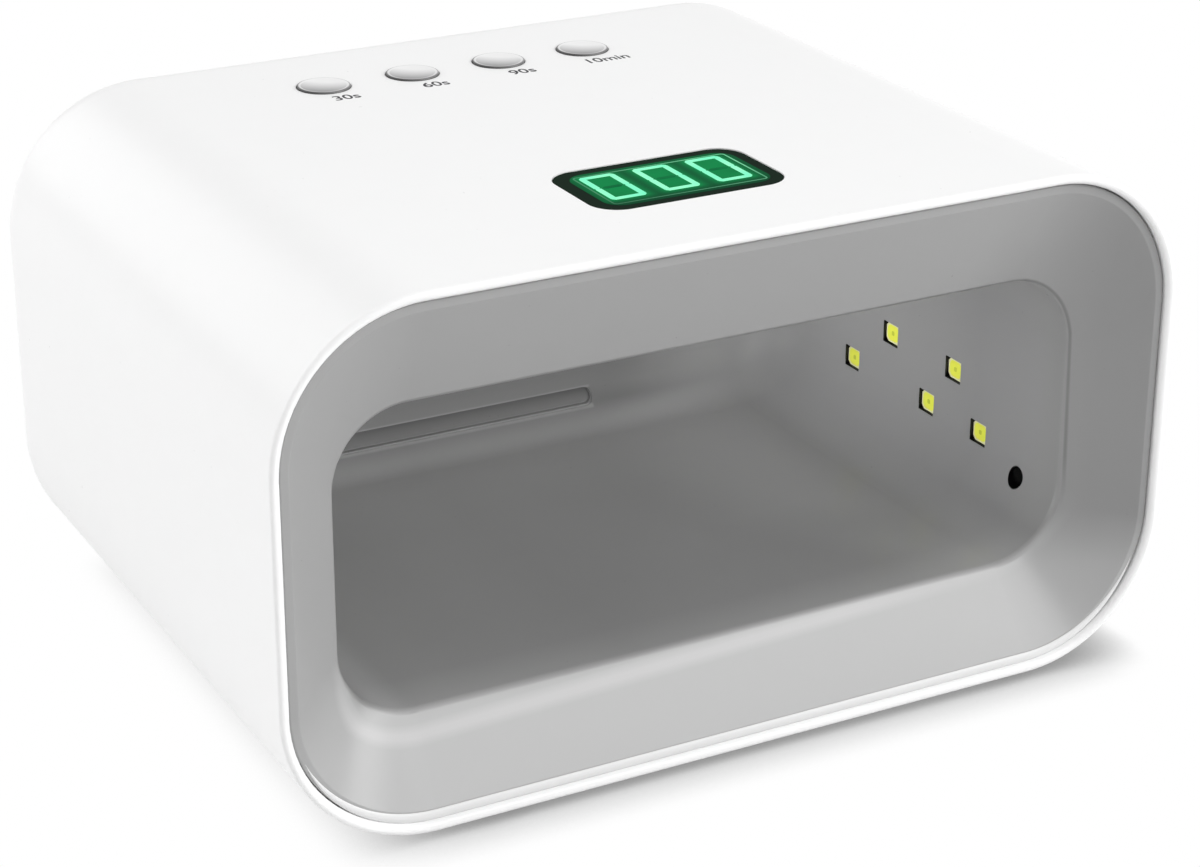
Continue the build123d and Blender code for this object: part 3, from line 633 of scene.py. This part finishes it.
def window_shade_mask(tree):
    """1 on the cut sides of the side walls' windows, past the wall's face, and of the infrared holes,
    where black is painted as shade.
    """
    x, y, z = axes(tree)
    x = calc(tree, "ABSOLUTE", x)
    past_face = calc(tree, "GREATER_THAN", x, WALL_X + CUT_FROM)
    inside = calc(tree, "LESS_THAN", x, WALL_X + CUT_TO)
    behind = calc(tree, "GREATER_THAN", y, FRONT_Y + CUT_DEPTH_FROM)
    window = product(tree, past_face, inside, behind)
    along = minus(tree, y, FRONT_Y + EYE_DEPTH)
    up = minus(tree, z, UNDERSIDE + EYE_HEIGHT)
    hole = calc(tree, "LESS_THAN", diagonal(tree, along, up), EYE_RADIUS)
    at_side = calc(tree, "GREATER_THAN", x, EYE_WIDTH_SHARE * WALL_X)
    return calc(tree, "MAXIMUM", window, product(tree, hole, at_side))


def grey_liner():
    """Satin grey plastic of the cavity, with painted light and shade over the bezel, cavity, crease and
    groove, a painted highlight along the lower edge, and black painted as shade on the cut sides of the
    LED windows.
    """
    made, tree, shader = new_material("grey_liner")
    bezel = bezel_painted_shading(tree)
    inside = rise(tree, edge_place(tree), EDGE_SOFTNESS)
    tone = plus(tree, product(tree, inside, minus(tree, cavity_painted_shading(tree), bezel)), bezel)
    # Painted shade along the crease between the bezel and the cavity
    crease = product(tree, crease_shade_mask(tree), CREASE_STRENGTH)
    # Painted shade and painted light lines over the rear wall's groove
    tone = product(tree, product(tree, tone, minus(tree, 1.0, crease)), groove_painted_shading(tree))
    color = scaled(tree, mottled(tree, LINER_COLOR, LINER_MOTTLE, LINER_PATCH_SIZE), tone)
    # Painted highlight: a light line along the lower edge of the cavity
    color = blend(tree, product(tree, ridge_highlight_mask(tree), RIDGE_STRENGTH), color, WHITE)
    # Black painted as shade on the cut sides of the windows and the infrared holes
    color = blend(tree, window_shade_mask(tree), color, CUT_SIDE_SHADE)
    feed(tree, shader.inputs["Base Color"], color)
    uneven = between(tree, noise(tree, LINER_GLOSS_PATCH_SIZE), *LINER_ROUGHNESS)
    feed(tree, shader.inputs["Roughness"], uneven)
    grain(tree, shader, *LINER_GRAIN)
    return made


def silver_button(node):
    """Satin silver paint on a shallow dish, with painted light and shade: a painted highlight over its far
    right, painted shade on its near rim.
    """
    made, tree, shader = new_material("silver_" + node)
    low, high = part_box(node)
    middle = (low + high) / 2
    radius = (high.x - low.x) / 2 - BUTTON_FLANGE
    x, y, _ = axes(tree)
    x = calc(tree, "DIVIDE", minus(tree, x, middle.x), radius)
    y = calc(tree, "DIVIDE", minus(tree, y, middle.y), radius)
    lean = plus(tree, product(tree, x, BUTTON_LIGHT_LEAN[0]), product(tree, y, BUTTON_LIGHT_LEAN[1]))
    # Painted light and shade across the face: lighter towards the far right
    face = blend(tree, rise(tree, lean, BUTTON_FACE_SPAN), BUTTON_FACE_SHADE, BUTTON_FACE_HIGHLIGHT)
    out = diagonal(tree, x, y)
    off = apart(tree, out, BUTTON_RING_PLACE)
    # Painted highlight ring near the edge
    ring = between(tree, off, BUTTON_RING_STRENGTH, 0.0, *BUTTON_RING_HALF_WIDTHS)
    face = blend(tree, ring, face, BUTTON_RING_HIGHLIGHT)
    # Painted shade on the edge, darkest on the near side
    near = blend(tree, rise(tree, x, BUTTON_NEAR_SPAN), BUTTON_NEAR_SHADE, BUTTON_NEAR_LIGHT)
    edge = blend(tree, rise(tree, lean, BUTTON_FAR_SPAN), near, BUTTON_FAR_LIGHT)
    color = blend(tree, rise(tree, out, BUTTON_EDGE_SPAN), face, edge)
    feed(tree, shader.inputs["Base Color"], color)
    uneven = between(tree, noise(tree, BUTTON_GLOSS_PATCH_SIZE), *BUTTON_ROUGHNESS)
    feed(tree, shader.inputs["Roughness"], uneven)
    shader.inputs["Metallic"].default_value = BUTTON_METAL
    grain(tree, shader, *BUTTON_GRAIN)
    return made


def dress(material, *nodes):
    """Gives pieces of the part a finish."""
    for name in nodes:
        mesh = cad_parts[name].data
        mesh.materials.clear()
        mesh.materials.append(material)


def dress_all():
    """Gives every piece of the part its finish."""
    for name, color, rough, settings, nodes in FINISHES:
        dress(solid_finish(name, color, rough, **settings), *nodes)
    dress(grey_liner(), "inner_liner")
    dress(glow("lit_segments", *SEGMENT_GLOW), "digit_segments")
    for node in LABELS:
        dress(silver_button(node), node)


def link(made):
    """Puts an object into the scene."""
    bpy.context.scene.collection.objects.link(made)


def mesh_piece(name, bm, material):
    """A piece on the lamp's body, with the slot of its finish."""
    mesh = bpy.data.meshes.new(name)
    bm.to_mesh(mesh)
    bm.free()
    mesh.materials.append(material)
    made = bpy.data.objects.new(name, mesh)
    link(made)
    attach(made, "lamp_body")


def rounded_outline(length, width, corner, steps=8):
    """Points of a rounded rectangle round the origin, counter-clockwise."""
    points = []
    for quarter, (sx, sy) in enumerate(((1, 1), (-1, 1), (-1, -1), (1, -1))):
        cx, cy = sx * (length / 2 - corner), sy * (width / 2 - corner)
        for i in range(steps + 1):
            angle = math.radians(90 * (quarter + i / steps))
            points.append((cx + corner * math.cos(angle), cy + corner * math.sin(angle)))
    return points


def add_film(bm, outer, centre, low, high, inner=None):
    """A thin level film between two heights, with an optional hole."""
    def ring(points, z):
        return [bm.verts.new((centre.x + x, centre.y + y, z)) for x, y in points]

    loops = [ring(outer, low), ring(outer, high)]
    count = len(outer)
    for i in range(count):
        j = (i + 1) % count
        bm.faces.new((loops[0][i], loops[0][j], loops[1][j], loops[1][i]))
    if inner is None:
        bm.faces.new(loops[1])
        bm.faces.new(reversed(loops[0]))
        return
    holes = [ring(inner, low), ring(inner, high)]
    for i in range(count):
        j = (i + 1) % count
        bm.faces.new((holes[1][i], holes[1][j], holes[0][j], holes[0][i]))
        bm.faces.new((loops[1][i], loops[1][j], holes[1][j], holes[1][i]))
        bm.faces.new((loops[0][j], loops[0][i], holes[0][i], holes[0][j]))


def add_turned(bm, turn, outline, low, high):
    """A thin film of any outline, built on the ground plane and turned onto its face."""
    start = len(bm.verts)
    add_film(bm, outline, Vector((0.0, 0.0, 0.0)), low, high)
    bm.verts.ensure_lookup_table()
    bmesh.ops.transform(bm, matrix=turn, verts=bm.verts[start:])
    bmesh.ops.recalc_face_normals(bm, faces=bm.faces)


def bar_outline(x, y, length, upright):
    """Outline of a digit's bar with mitred ends."""
    half = length / 2
    point = DIGIT_STROKE / 2
    outline = [(half, 0), (half - point, point), (point - half, point),
               (-half, 0), (point - half, -point), (half - point, -point)]
    if upright:
        outline = [(-b, a) for a, b in outline]
    return [(x + a, y + b) for a, b in outline]


def lit_bars():
    """The six lit bars of a nought, round its centre."""
    across = DIGIT_WIDTH - DIGIT_STROKE
    up = (DIGIT_HEIGHT - DIGIT_STROKE) / 2
    level = across + DIGIT_STROKE - DIGIT_GAP
    upright = up + DIGIT_STROKE * SIDE_BAR_OVERLAP - DIGIT_GAP
    bars = [bar_outline(0.0, side * up, level, False) for side in (-1, 1)]
    for side in (-1, 1):
        for row in (-0.5, 0.5):
            bars.append(bar_outline(side * across / 2, row * up, upright, True))
    return bars


def add_digits(bm, bars, low, high):
    """The same bars for each digit of the display."""
    for i in range(DIGIT_COUNT):
        aside = (i - (DIGIT_COUNT - 1) / 2) * DIGIT_PITCH
        for bar in bars:
            add_film(bm, bar, Vector((aside, FRONT_Y + DIGIT_DEPTH, 0.0)), low, high)


def display_face():
    """The lit panel, its thin outline and the three digits, as films on the window."""
    centre = Vector((PANEL_ASIDE, FRONT_Y + PANEL_DEPTH, 0.0))
    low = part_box("display_lens")[1].z
    bm = bmesh.new()
    add_film(bm, rounded_outline(PANEL_LENGTH, PANEL_WIDTH, PANEL_CORNER), centre, low, low + FILM)
    mesh_piece("display_panel", bm, digit_glow())
    bm = bmesh.new()
    line = 2 * OUTLINE_LINE
    outer = rounded_outline(OUTLINE_LENGTH, OUTLINE_WIDTH, OUTLINE_CORNER)
    inner = rounded_outline(OUTLINE_LENGTH - line, OUTLINE_WIDTH - line,
                            OUTLINE_CORNER - OUTLINE_LINE)
    add_film(bm, outer, centre, low + FILM, low + 1.5 * FILM, inner)
    mesh_piece("display_outline", bm, outline_glow())
    bm = bmesh.new()
    add_digits(bm, lit_bars(), low + FILM, low + 3 * FILM)
    mesh_piece("display_digits", bm, glow("digit_light", *DIGIT_GLOW))
    bm = bmesh.new()
    middle_bar = bar_outline(0.0, 0.0, DIGIT_WIDTH - MIDDLE_BAR_INSET * DIGIT_STROKE, False)
    add_digits(bm, [middle_bar], low + FILM, low + 2 * FILM)
    mesh_piece("display_dark_bars", bm, glow("unlit_bar", *DARK_BAR_GLOW))


def window_shadow_strips(side):
    """Black strips of painted shadow on the wall below and behind a window; the first axis points up on
    the right.
    """
    low = -side * WINDOW_SPAN[0] / 2
    below = low - side * WINDOW_SHADOW_EDGE[0]
    high = side * WINDOW_SPAN[0] / 2
    front, rear = -WINDOW_SPAN[1] / 2, WINDOW_SPAN[1] / 2
    behind = rear + WINDOW_SHADOW_EDGE[1]
    return [[(below, front), (low, front), (low, rear), (below, behind)],
            [(below, behind), (low, rear), (high, rear), (high, behind)]]


def window_shadow_corners(side):
    """Black corners of painted shadow on the face of an LED, at the rear end of its window."""
    high = side * WINDOW_SPAN[0] / 2
    rear = WINDOW_SPAN[1] / 2
    across = side * WINDOW_SHADOW_NOTCH
    return [[(high, rear), (high - across, rear), (high, rear - WINDOW_SHADOW_NOTCH)],
            [(-high, rear), (-high + across, rear), (-high, rear - WINDOW_SHADOW_NOTCH)]]


def side_turn(side, spot):
    """Turns a film from the ground plane onto a side wall, facing the cavity."""
    return Matrix.Translation(spot) @ Matrix.Rotation(math.radians(-90 * side), 4, "Y")


def led_faces():
    """Phosphor and die on the face of each LED, and the black films of painted shadow at the side windows.
    """
    fills, dies, shadow_films = bmesh.new(), bmesh.new(), bmesh.new()
    upright = rounded_outline(*PHOSPHOR_SPAN[::-1], PHOSPHOR_CORNER)
    level = rounded_outline(*PHOSPHOR_SPAN, PHOSPHOR_CORNER)
    die = rounded_outline(*DIE_SPAN, DIE_CORNER)
    for side in (-1, 1):
        face_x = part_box("leds_left")[1].x if side < 0 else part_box("leds_right")[0].x
        for depth, height in SIDE_LEDS:
            y, z = FRONT_Y + depth * MM, UNDERSIDE + height * MM
            turn = side_turn(side, Vector((face_x, y, z)))
            add_turned(fills, turn, upright, *PHOSPHOR_LEVELS)
            add_turned(dies, turn, die, *DIE_LEVELS)
            wall_turn = side_turn(side, Vector((side * WALL_X, y, z)))
            for outline in window_shadow_strips(side):
                add_turned(shadow_films, wall_turn, outline, *WINDOW_SHADOW_EDGE_LEVELS)
            for outline in window_shadow_corners(side):
                add_turned(shadow_films, turn, outline, *WINDOW_SHADOW_NOTCH_LEVELS)
    low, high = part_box("leds_top")
    length, width = CEILING_LED_SPAN
    for column in (-1, 0, 1):
        for row in (0, 1):
            x = (low.x + high.x) / 2 + column * (high.x - low.x - length) / 2
            y = low.y + width / 2 + row * (high.y - low.y - width)
            turn = Matrix.Translation((x, y, low.z)) @ Matrix.Rotation(math.radians(180), 4, "X")
            add_turned(fills, turn, level, *PHOSPHOR_LEVELS)
            add_turned(dies, turn, die, *DIE_LEVELS)
    phosphor = solid_finish("led_phosphor", (0.90, 0.94, 0.09), 0.35, mottle=0.05)
    mesh_piece("led_phosphor", fills, phosphor)
    mesh_piece("led_dies", dies, solid_finish("led_die", (0.62, 0.68, 0.05), 0.30))
    # Black films of painted shadow at the side windows
    black = solid_finish("window_shadow_film", (0.006, 0.006, 0.005), 0.6, mottle=0.1, gloss=DULL_GLOSS)
    mesh_piece("led_window_shadow_films", shadow_films, black)


def bead_path(half, low_z):
    """Stations along the bead from right to left: place, angle outwards and fullness."""
    radius = LINER_CORNER - BEAD_INSET
    centre_x = half - radius
    centre_z = low_z + LINER_CORNER
    path = []
    for i in range(BEAD_STEPS + 1):
        angle = math.radians(BEAD_END_ANGLE + (-90 - BEAD_END_ANGLE) * i / BEAD_STEPS)
        fullness = math.sin(math.pi / 2 * i / BEAD_STEPS) ** BEAD_TAPER
        x, z = centre_x + radius * math.cos(angle), centre_z + radius * math.sin(angle)
        path.append((x, z, angle, fullness))
    return path + [(-x, z, math.pi - angle, fullness) for x, z, angle, fullness in reversed(path)]


def rim_bead():
    """White bead along the lower front of the liner's rim, thinning out up both corners."""
    low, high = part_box("inner_liner")
    rim_y = low.y + BEAD_SINK
    bm = bmesh.new()
    rings = []
    for x, z, angle, fullness in bead_path(high.x - BEAD_INSET, low.z):
        wide = max(BEAD_WIDTH / 2 * fullness, BEAD_LEAST_WIDTH)
        proud = max(BEAD_PROUD * fullness, BEAD_LEAST_PROUD) + BEAD_SINK
        ring = []
        for j in range(BEAD_SIDES):
            turn = 2 * math.pi * j / BEAD_SIDES
            out, ahead = wide * math.cos(turn), proud * math.sin(turn)
            spot = (x + out * math.cos(angle), rim_y - ahead, z + out * math.sin(angle))
            ring.append(bm.verts.new(spot))
        rings.append(ring)
    for first, second in zip(rings, rings[1:]):
        for j in range(BEAD_SIDES):
            k = (j + 1) % BEAD_SIDES
            bm.faces.new((first[j], first[k], second[k], second[j]))
    bm.faces.new(rings[0])
    bm.faces.new(reversed(rings[-1]))
    bmesh.ops.recalc_face_normals(bm, faces=bm.faces)
    for face in bm.faces:
        face.smooth = True
    white = solid_finish("bead_white", (0.76, 0.76, 0.76), 0.40, mottle=0.01)
    mesh_piece("rim_bead", bm, white)


def cross_cutter(low, high):
    """Four tapering crosses that reach into the screws' heads from below, as one mesh."""
    cutter = bmesh.new()
    arm, half = SCREW_CROSS_WIDTH / 2, SCREW_CROSS_SPAN / 2
    outline = [(half, -arm), (half, arm), (arm, arm), (arm, half), (-arm, half), (-arm, arm),
               (-half, arm), (-half, -arm), (-arm, -arm), (-arm, -half), (arm, -half), (arm, -arm)]
    inner = [(a * SCREW_CROSS_TAPER, b * SCREW_CROSS_TAPER) for a, b in outline]
    count = len(outline)
    for x in (low.x + SCREW_HEAD_RADIUS, high.x - SCREW_HEAD_RADIUS):
        for y in (low.y + SCREW_HEAD_RADIUS, high.y - SCREW_HEAD_RADIUS):
            wide = [cutter.verts.new((x + a, y + b, low.z - SCREW_CROSS_START)) for a, b in outline]
            narrow = [cutter.verts.new((x + a, y + b, low.z + SCREW_CROSS_DEPTH)) for a, b in inner]
            for i in range(count):
                j = (i + 1) % count
                cutter.faces.new((wide[i], narrow[i], narrow[j], wide[j]))
            cutter.faces.new(narrow)
            cutter.faces.new(reversed(wide))
    bmesh.ops.recalc_face_normals(cutter, faces=cutter.faces)
    mesh = bpy.data.meshes.new("cross_tool")
    cutter.to_mesh(mesh)
    cutter.free()
    return mesh


def crossed_screws():
    """The base cover's screws with cross recesses in their heads, in place of the plain ones."""
    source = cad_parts["base_screws"]
    tool = bpy.data.objects.new("cross_tool", cross_cutter(*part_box("base_screws")))
    made = bpy.data.objects.new("crossed_screws", source.data.copy())
    link(tool)
    link(made)
    cut = made.modifiers.new("cut", "BOOLEAN")
    cut.operation = "DIFFERENCE"
    cut.solver = "EXACT"
    cut.object = tool
    bpy.context.view_layer.update()
    cut_object = made.evaluated_get(bpy.context.evaluated_depsgraph_get())
    finished = bpy.data.meshes.new_from_object(cut_object)
    made.modifiers.remove(cut)
    made.data = finished
    bpy.data.objects.remove(tool)
    finished.materials.clear()
    finished.materials.append(solid_finish("zinc_screw", (0.58, 0.58, 0.60), 0.30, metal=1.0))
    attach(made, "lamp_body")
    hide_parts("base_screws")


def printed_times():
    """The times printed in front of the buttons."""
    ink = solid_finish("printed_ink", (0.035, 0.035, 0.04), 0.6)
    top_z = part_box("outer_shell")[1].z
    for node, words in LABELS.items():
        low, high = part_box(node)
        curve = bpy.data.curves.new("label_" + node, "FONT")
        curve.body = words
        curve.size = LABEL_SIZE
        curve.align_x = "CENTER"
        curve.align_y = "CENTER"
        curve.extrude = LABEL_HEIGHT
        curve.offset = LABEL_WEIGHT
        curve.materials.append(ink)
        label = bpy.data.objects.new("label_" + node, curve)
        link(label)
        middle = (low + high) / 2
        label.location = (middle.x + LABEL_ASIDE, middle.y - LABEL_AHEAD, top_z + LABEL_HEIGHT)
        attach(label, "lamp_body")


def shadowed_white():
    """White of the floor, which shows only the soft shadow round the lamp's foot to the camera."""
    made, tree, shader = new_material("floor_white")
    shader.inputs["Base Color"].default_value = FLOOR_COLOR
    shader.inputs["Roughness"].default_value = FLOOR_ROUGHNESS
    shader.inputs["Specular IOR Level"].default_value = FLOOR_GLOSS
    rays = tree.nodes.new("ShaderNodeLightPath")
    shelter = tree.nodes.new("ShaderNodeAmbientOcclusion")
    shelter.inputs["Distance"].default_value = SHADOW_REACH
    lean = tree.nodes.new("ShaderNodeCombineXYZ")
    for socket, value in zip(lean.inputs, SHADOW_LEAN):
        socket.default_value = value
    tree.links.new(lean.outputs[0], shelter.inputs["Normal"])
    lift = tree.nodes.new("ShaderNodeEmission")
    level = between(tree, shelter.outputs["AO"], SHADOW_DEPTH, 1.0, *SHADOW_LEVELS)
    feed(tree, lift.inputs["Strength"], level)
    seen = calc(tree, "MAXIMUM", rays.outputs["Is Camera Ray"], rays.outputs["Is Glossy Ray"])
    mixed = tree.nodes.new("ShaderNodeMixShader")
    feed(tree, mixed.inputs["Fac"], seen)
    tree.links.new(shader.outputs[0], mixed.inputs[1])
    tree.links.new(lift.outputs[0], mixed.inputs[2])
    tree.links.new(mixed.outputs[0], tree.nodes["Material Output"].inputs["Surface"])
    return made


def stand():
    """White floor that the lamp stands on."""
    bm = bmesh.new()
    bmesh.ops.create_grid(bm, x_segments=1, y_segments=1, size=FLOOR_SIZE / 2)
    mesh = bpy.data.meshes.new("floor")
    bm.to_mesh(mesh)
    bm.free()
    mesh.materials.append(shadowed_white())
    floor = bpy.data.objects.new("floor", mesh)
    link(floor)


def sky():
    """White surroundings: full white to the camera, softer as a light and brighter to the right."""
    world = bpy.data.worlds.new("studio")
    bpy.context.scene.world = world
    world.use_nodes = True
    tree = world.node_tree
    back = tree.nodes["Background"]
    back.inputs["Color"].default_value = WHITE
    rays = tree.nodes.new("ShaderNodeLightPath")
    split = tree.nodes.new("ShaderNodeSeparateXYZ")
    aim = tree.nodes.new("ShaderNodeTexCoord").outputs["Generated"]
    tree.links.new(aim, split.inputs["Vector"])
    left, right = SKY_LEVEL * (1 - SKY_LEAN), SKY_LEVEL * (1 + SKY_LEAN)
    level = between(tree, split.outputs["X"], left, right, -1.0, 1.0)
    strength = calc(tree, "MAXIMUM", level, rays.outputs["Is Camera Ray"])
    feed(tree, back.inputs["Strength"], strength)


def softbox(name, place_at, aim_at, size, power, spread=180.0, mirrored=True):
    """A rectangular area light, aimed at a point."""
    lamp = bpy.data.lights.new(name, "AREA")
    lamp.shape = "RECTANGLE"
    lamp.size, lamp.size_y = size
    lamp.energy = power
    lamp.spread = math.radians(spread)
    made = bpy.data.objects.new(name, lamp)
    link(made)
    made.location = place_at
    aim = Vector(aim_at) - Vector(place_at)
    made.rotation_mode = "QUATERNION"
    made.rotation_quaternion = aim.to_track_quat("-Z", "Y")
    made.visible_camera = False
    made.visible_glossy = mirrored


def lights():
    """Soft lights round the lamp, and weak ones inside the cavity that aren't mirrored in it."""
    softbox("left_side", (-1.2, 0.5, 0.75), MIDDLE, (1.0, 1.0), 7.5)
    softbox("left_rear", (-0.55, 1.15, 0.62), MIDDLE, (0.9, 0.9), 2.6)
    softbox("right_front", (0.636, -1.01, 0.927), MIDDLE, (1.0, 0.5), 7.5)
    softbox("right_side", (1.3, -0.7, 0.6), MIDDLE, (0.8, 0.8), 9.5)
    wall_y, rear_y = FRONT_Y + WALL_FILL_DEPTH, FRONT_Y + REAR_FILL_DEPTH
    softbox("fill_right_wall", (-0.080, wall_y, 0.058), (0.080, wall_y, 0.058),
            (0.110, 0.050), 0.020, 50.0, False)
    softbox("fill_ceiling", (0.0, 0.010, 0.086), (0.0, 0.010, 0.0),
            (0.130, 0.050), 0.012, 150.0, False)
    softbox("fill_rear_wall", (0.0, rear_y, 0.058), (0.0, 0.080, 0.058),
            (0.150, 0.050), 0.020, 50.0, False)


def camera():
    """The photograph's camera."""
    data = bpy.data.cameras.new("camera")
    data.sensor_width = SENSOR_WIDTH
    data.lens = FOCAL_PX / IMAGE_WIDTH_PX * SENSOR_WIDTH
    made = bpy.data.objects.new("camera", data)
    link(made)
    forward = Vector(CAMERA_FORWARD).normalized()
    level = forward.cross(Vector((0, 0, 1))).normalized()
    above = level.cross(forward)
    right = level * math.cos(CAMERA_ROLL) + above * math.sin(CAMERA_ROLL)
    up = above * math.cos(CAMERA_ROLL) - level * math.sin(CAMERA_ROLL)
    turn = Matrix((right, up, -forward)).transposed()
    made.matrix_world = Matrix.Translation(CAMERA_PLACE) @ turn.to_4x4()
    bpy.context.scene.camera = made


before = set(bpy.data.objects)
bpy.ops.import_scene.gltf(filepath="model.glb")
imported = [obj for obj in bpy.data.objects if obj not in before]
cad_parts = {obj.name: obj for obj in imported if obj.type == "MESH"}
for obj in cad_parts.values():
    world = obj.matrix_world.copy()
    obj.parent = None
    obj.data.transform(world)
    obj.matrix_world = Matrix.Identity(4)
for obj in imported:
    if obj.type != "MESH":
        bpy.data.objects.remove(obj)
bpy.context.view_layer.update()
FRONT_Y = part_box("outer_shell")[0].y
bpy.context.scene.view_settings.view_transform = "Standard"
dress_all()
display_face()
led_faces()
rim_bead()
crossed_screws()
printed_times()
stand()
sky()
lights()
camera()
